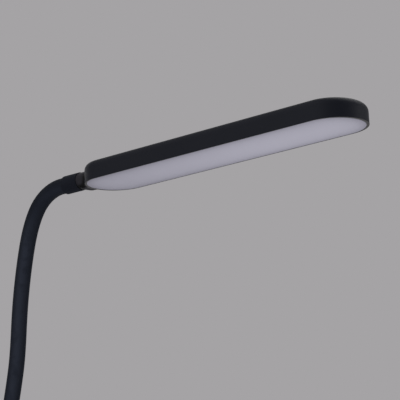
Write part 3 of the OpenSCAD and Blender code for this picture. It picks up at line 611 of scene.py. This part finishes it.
# Buttons: rounded caps with a shallow dish, a flange behind the panel, and raised marks in the dish
rows = {"dimmer": -1, "power": 0, "brighter": 1}
cap = rounded([(0, FLANGE_BACK, 0), (FLANGE_R, FLANGE_BACK, 0), (FLANGE_R, FLANGE_FRONT, 0),
               (BUTTON_R, FLANGE_FRONT, 0), (BUTTON_R, BUTTON_FRONT, BUTTON_EDGE),
               (DISH_R, BUTTON_FRONT, DISH_EDGE),
               (DISH_FLOOR_R, BUTTON_FRONT - DISH_WALL_D, DISH_FLOOR_EDGE),
               (0, BUTTON_FRONT - DISH_D, 0)], closed=False)
for body, row in rows.items():
    turn_piece(body + "_cap", cap, button_rubber, body, "button_plastic", body + "_button",
               at_button(row), closed=False)


def bead(path, r, place, turns=16):
    """Round bead along a path in a button's dish (columns across and up): a circle square to the
    path, which shrinks to nothing at both ends as a half circle does."""
    step = np.gradient(path, axis=0)
    step /= np.linalg.norm(step, axis=1, keepdims=True)
    s = np.r_[0, np.cumsum(np.linalg.norm(np.diff(path, axis=0), axis=1))]
    short = 1 - ramp(np.minimum(s, s[-1] - s), 0, r)
    size = r * np.sqrt(1 - short**2)[:, None]
    a = np.linspace(0, 2 * np.pi, turns, endpoint=False)
    across = path[:, 0, None] - step[:, 1, None] * size * np.cos(a)
    above = path[:, 1, None] + step[:, 0, None] * size * np.cos(a)
    return place(across, above, BUTTON_FRONT - MARK_SINK + size * np.sin(a))


# Marks: a minus, a plus, and a broken ring with a bar. The ring is open at the top, in degrees.
RING_FROM, RING_TO = 125, 415
POWER_BAR_SCALE, POWER_BAR_UP = 0.5, 0.95
ends = np.linspace(-MARK_HALF, MARK_HALF, 27)
level_bar, post = np.stack([ends, 0 * ends], 1), np.stack([0 * ends, ends], 1)
sweep = np.radians(np.linspace(RING_FROM, RING_TO, 60))
ring = MARK_HALF * np.stack([np.cos(sweep), np.sin(sweep)], 1)
short_bar = post * POWER_BAR_SCALE + [0, POWER_BAR_UP]
for body, name, path in (("dimmer", "minus", level_bar), ("brighter", "plus_bar", level_bar),
                         ("brighter", "plus_post", post), ("power", "power_ring", ring),
                         ("power", "power_bar", short_bar)):
    points = bead(path, MARK_R, at_button(rows[body]))
    mark = surface("mark_" + name, points, mark_ink, wrap=(False, True))
    dress(mark, body, "button_plastic")

# Floor, world and lamps. The floor is a wide flat ring whose hole is hidden under the foam pad, so
# that the pad gets light when it is seen from below.
radius = np.geomspace(FLOOR_HOLE_R, FLOOR_R, 24)[:, None]
a = np.linspace(0, 2 * np.pi, 96, endpoint=False)
ground = upright(radius * np.cos(a), radius * np.sin(a), 0 * (radius + a) - FLOOR_DROP)
# Painted studio floor: pale grey and dull
floor_paint = finish("matt_floor_paint", ("#d2d2d3", "#d6d6d7"), 0.85, 3.0, 0.02, specular=0.2,
                     blotch_mm=900)
floor = surface("floor", ground, floor_paint, wrap=(False, True))
if floor.data.polygons[0].normal.z < 0:
    floor.data.flip_normals()
# Seen from below the floor is clear, so that the lamp's underside can be looked at
tree = floor_paint.node_tree
below = put(tree, "NewGeometry", {}).outputs["Backfacing"]
both = put(tree, "MixShader", {0: below, 1: tree.nodes["Principled BSDF"].outputs[0],
                               2: put(tree, "BsdfTransparent", {}).outputs[0]})
tree.links.new(both.outputs[0], tree.nodes["Material Output"].inputs["Surface"])

# World: an even light from all round, and a plain grey backdrop for the camera, for reflections
# and for what is seen through the floor
SKY_LIGHT = 0.5, 0.5, 0.515, 1
world = bpy.data.worlds.new("studio")
bpy.context.scene.world = world
world.use_nodes = True
tree = world.node_tree
sky = tree.nodes["Background"]
sky.inputs["Color"].default_value = SKY_LIGHT
seen = put(tree, "Background", {"Color": linear("#a5a3a5")})
ray = put(tree, "LightPath", {}).outputs
any_of = ray["Is Camera Ray"]
for kind in ("Is Glossy Ray", "Is Transmission Ray"):
    any_of = put(tree, "Math", {0: any_of, 1: ray[kind]}, operation="MAXIMUM").outputs[0]
choice = put(tree, "MixShader", {0: any_of, 1: sky.outputs[0], 2: seen.outputs[0]})
tree.links.new(choice.outputs[0], tree.nodes["World Output"].inputs["Surface"])


def softbox(name, place, target, size, power):
    """Square area lamp at a place, facing a target; lengths in metres, power in watts."""
    lamp = bpy.data.lights.new(name, "AREA")
    lamp.size, lamp.energy = size, power
    box = bpy.data.objects.new(name, lamp)
    facing = np.array(place, float) - np.array(target, float)
    facing /= np.linalg.norm(facing)
    across = np.cross([0, 0, 1], facing)
    across /= np.linalg.norm(across)
    hung_at = np.eye(4)
    hung_at[:3, :3] = np.stack([across, np.cross(facing, across), facing], 1)
    hung_at[:3, 3] = place
    box.matrix_world = Matrix(hung_at.tolist())
    box.visible_camera = False
    bpy.context.scene.collection.objects.link(box)


softbox("key", (-0.4, -2.3, 2.6), (0.15, 0, 1.2), 3.2, 34)
softbox("fill", (-2.6, 1.2, 2.4), (0.1, 0, 1.2), 2.6, 9)
softbox("top", (0.2, 0.9, 3.2), (0.2, 0, 1.4), 1.8, 15)
softbox("side", (2.2, 1.2, 1.7), (0.3, 0, 1.3), 1.6, 14)
# Close under the head, for the slow fall of brightness along the diffuser
softbox("bounce", (0.37, 0.06, 1.13), (0.35, 0.01, 1.43), 0.22, 0.5)

bpy.context.scene.view_settings.view_transform = "Standard"
